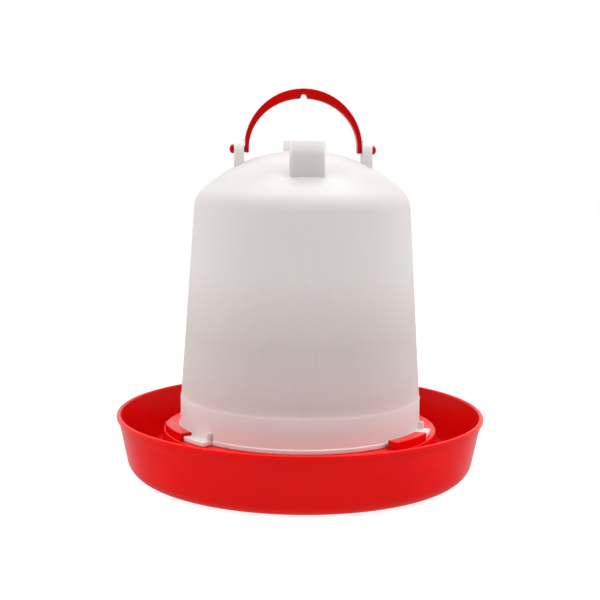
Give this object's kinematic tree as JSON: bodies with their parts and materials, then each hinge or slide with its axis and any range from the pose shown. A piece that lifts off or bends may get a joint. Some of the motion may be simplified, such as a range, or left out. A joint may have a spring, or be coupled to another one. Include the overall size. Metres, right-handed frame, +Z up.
{
  "type": "poultry waterer",
  "caption": "Siphon drinker for poultry: translucent bell reservoir locked by a bayonet on a round red tray with a trough, hung or carried by a bail handle.",
  "frame": {"origin": "centre of the tray's underside, on the surface that the drinker stands on", "axes": "+Z up along the bell's axis, +X towards one handle ear, -Y towards the front filling foot"},
  "size_m": [0.287, 0.287, 0.2979],
  "materials": {
    "tray_plastic": "red polypropylene, injection moulded, semi-gloss",
    "reservoir_plastic": "natural translucent polypropylene, injection moulded, satin",
    "handle_plastic": "red polypropylene, injection moulded, semi-gloss"
  },
  "bodies": {
    "tray": {"drinking_tray": "tray_plastic"},
    "reservoir": {"reservoir": "reservoir_plastic"},
    "handle": {"bail_handle": "handle_plastic"}
  },
  "joints": [
    {"name": "bayonet_turn", "type": "hinge", "parent": "tray", "child": "reservoir", "pos_m": [0, 0, 0.0353], "axis": [0, 0, 1], "range_deg": [0, 24]},
    {"name": "handle_swing", "type": "hinge", "parent": "reservoir", "child": "handle", "pos_m": [0, 0, 0.2517], "axis": [1, 0, 0], "range_deg": [-90, 90]}
  ]
}
